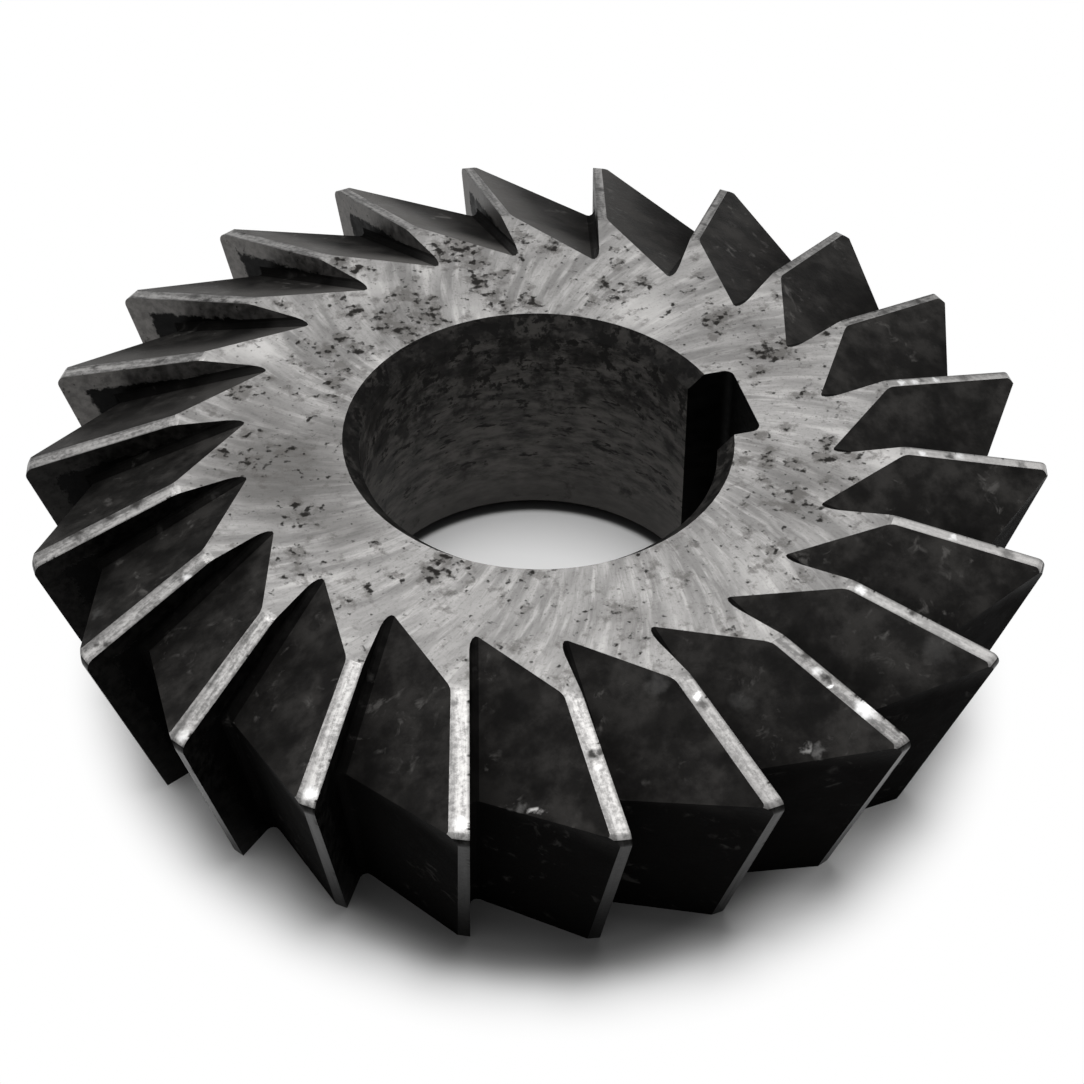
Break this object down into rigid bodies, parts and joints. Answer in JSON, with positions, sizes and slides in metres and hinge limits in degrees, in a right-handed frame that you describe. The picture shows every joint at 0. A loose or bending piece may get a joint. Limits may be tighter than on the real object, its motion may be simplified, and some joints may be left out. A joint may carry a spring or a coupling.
{
  "type": "double angle milling cutter",
  "caption": "Toothed double angle milling cutter with a shallow upper flank, a steep lower flank, a chamfered bore and a keyway.",
  "frame": {"origin": "on the bore axis, on the lower flat face that the cutter lies on", "axes": "+Z along the bore axis towards the shallow flank, +X along the keyway's centreline"},
  "size_m": [0.063, 0.0626, 0.016],
  "materials": {
    "tool_steel": "ground high-speed steel: light ground faces and lands, black unground tooth backs and bore"
  },
  "bodies": {
    "root": {"cutter": "tool_steel"}
  },
  "joints": []
}
